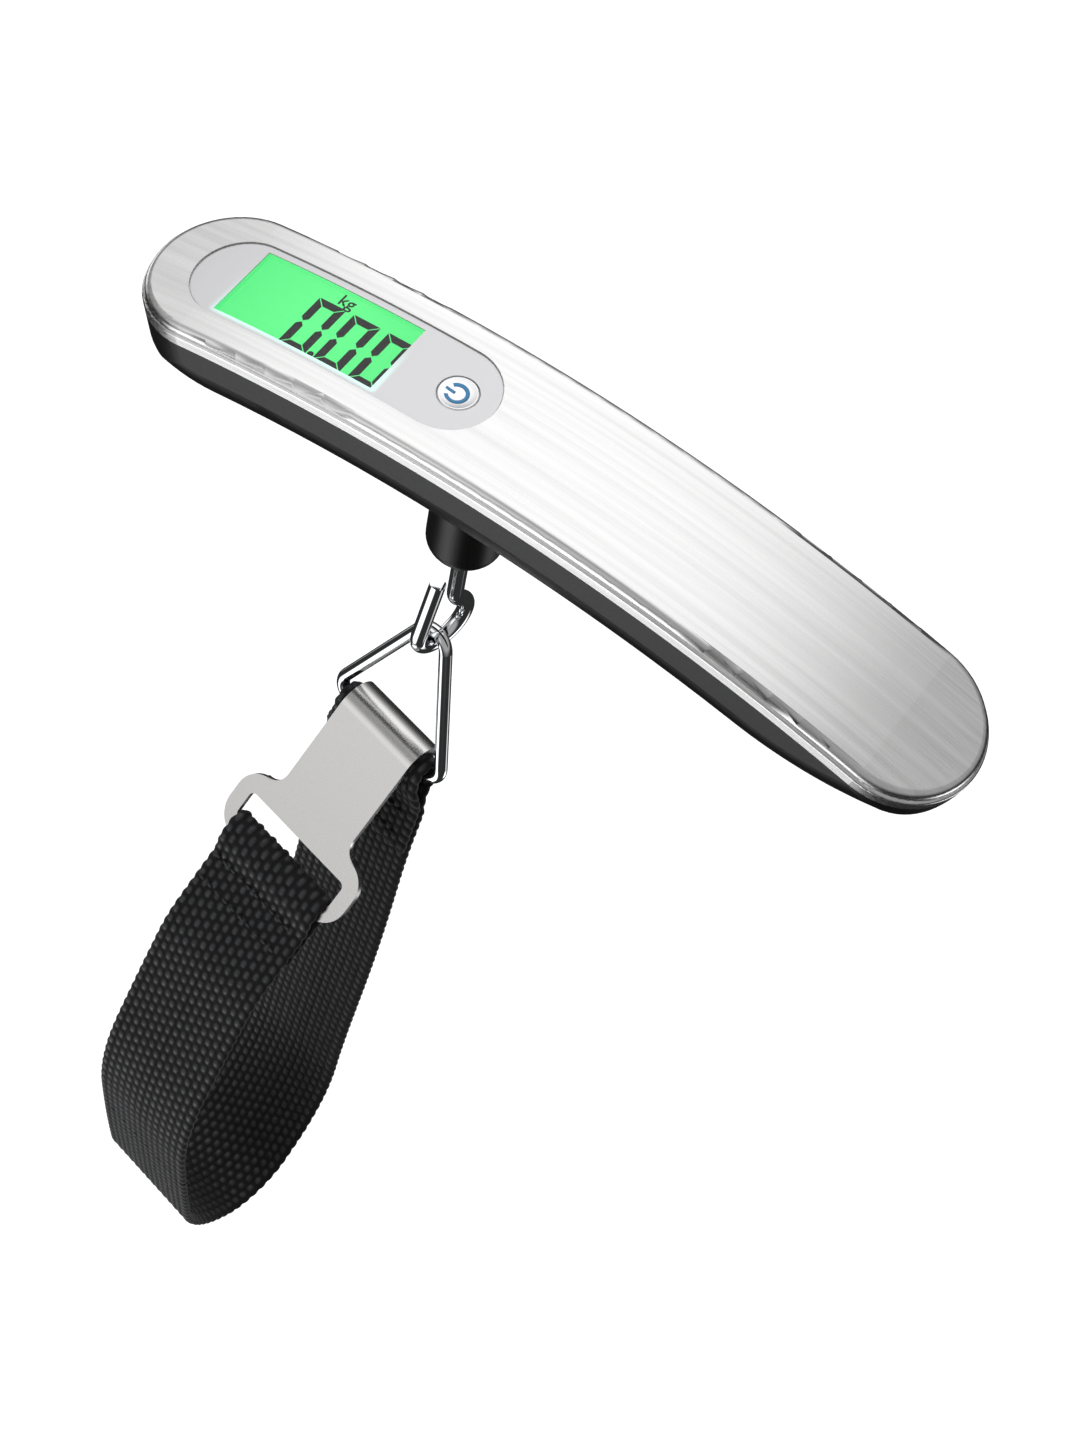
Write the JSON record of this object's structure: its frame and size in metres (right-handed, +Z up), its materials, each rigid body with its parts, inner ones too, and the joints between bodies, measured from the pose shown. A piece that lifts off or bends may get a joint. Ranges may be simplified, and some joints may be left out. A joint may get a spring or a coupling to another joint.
{
  "type": "digital luggage scale",
  "caption": "Digital luggage scale: arched metal-topped handle with display and button, swivel hook, triangular ring and a hook-on webbing loop.",
  "frame": {"origin": "on the hook's swivel axis, at the height of the crown of the arc where cover and shell meet", "axes": "+Z up along the swivel axis when the handle is held level; +X along the handle towards its plain end, away from the display; -Y towards the person who reads the display"},
  "size_m": [0.1568, 0.0828, 0.2279],
  "materials": {
    "stainless_cover": "brushed along the length",
    "steel_plated": "bright polished wire",
    "satin_nickel": "satin nickel plate",
    "steel_zinc": "zinc plated",
    "cell_alloy": "machined",
    "shell_plastic": "fine satin, moulded",
    "silver_plastic": "silver paint on moulded plastic",
    "frame_plastic": "moulded, unpainted",
    "tray_plastic": "moulded",
    "window_plastic": "clear polished sheet over a green backlight",
    "glass_cell": "polished",
    "light_guide": "moulded light guide",
    "zebra_rubber": "moulded",
    "board_laminate": "solder mask",
    "chip_epoxy": "poured resin",
    "switch_steel": "pressed",
    "sealant": "poured silicone",
    "wire_jacket": "extruded",
    "coin_steel": "nickel-plated can",
    "contact_brass": "spring strip",
    "foam": "cut foam",
    "bush_acetal": "moulded",
    "webbing_black": "coarse woven nylon webbing"
  },
  "bodies": {
    "handle": {"top_cover": "stainless_cover", "display_panel": "silver_plastic", "display_window": "window_plastic", "lcd_glass": "glass_cell", "backlight": "light_guide", "zebra_strips": "zebra_rubber", "circuit_board": "board_laminate", "chip_resin": "chip_epoxy", "tact_switch": "switch_steel", "inner_frame": "frame_plastic", "bottom_shell": "shell_plastic", "board_screws": "steel_zinc", "shell_screws": "steel_zinc", "load_cell": "cell_alloy", "chassis_plate": "steel_zinc", "load_cell_screws": "steel_zinc", "gauge_sealant": "sealant", "load_cell_wires": "wire_jacket", "battery_wires": "wire_jacket", "coin_battery": "coin_steel", "battery_tray": "tray_plastic", "contact_minus": "contact_brass", "contact_plus": "contact_brass", "boss_bush": "bush_acetal"},
    "button": {"power_button": "silver_plastic"},
    "door": {"battery_door": "shell_plastic", "door_pad": "foam"},
    "hook": {"hook": "steel_plated", "hook_washer": "steel_zinc", "hook_nut": "steel_zinc"},
    "ring": {"triangle_ring": "steel_plated"},
    "strap": {"webbing_strap": "webbing_black"},
    "buckle": {"strap_buckle": "satin_nickel", "webbing_end": "webbing_black"}
  },
  "joints": [
    {"name": "power_button_press", "type": "slide", "parent": "handle", "child": "button", "axis": [0.0741, 0, -0.9973], "range_m": [0, 0.0007], "stiffness_N_per_m": 1000},
    {"name": "battery_door_hinge", "type": "hinge", "parent": "handle", "child": "door", "pos_m": [0.03889, 0, -0.01412], "axis": [0, 1, 0], "range_deg": [0, 85]},
    {"name": "hook_swivel", "type": "hinge", "parent": "handle", "child": "hook", "pos_m": [0, 0, 0], "axis": [0, 0, 1], "continuous": true},
    {"name": "ring_swing", "type": "hinge", "parent": "hook", "child": "ring", "pos_m": [-0.00042, -0.00196, -0.056], "axis": [0.9781, -0.2079, 0], "range_deg": [-45, 70]},
    {"name": "strap_swing", "type": "hinge", "parent": "ring", "child": "strap", "pos_m": [-0.0024, -0.0113, -0.08375], "axis": [0.9781, -0.2079, 0], "range_deg": [-35, 45]},
    {"name": "buckle_unhook", "type": "slide", "parent": "strap", "child": "buckle", "axis": [0.1364, 0.6417, 0.7547], "range_m": [0, 0.004]}
  ]
}
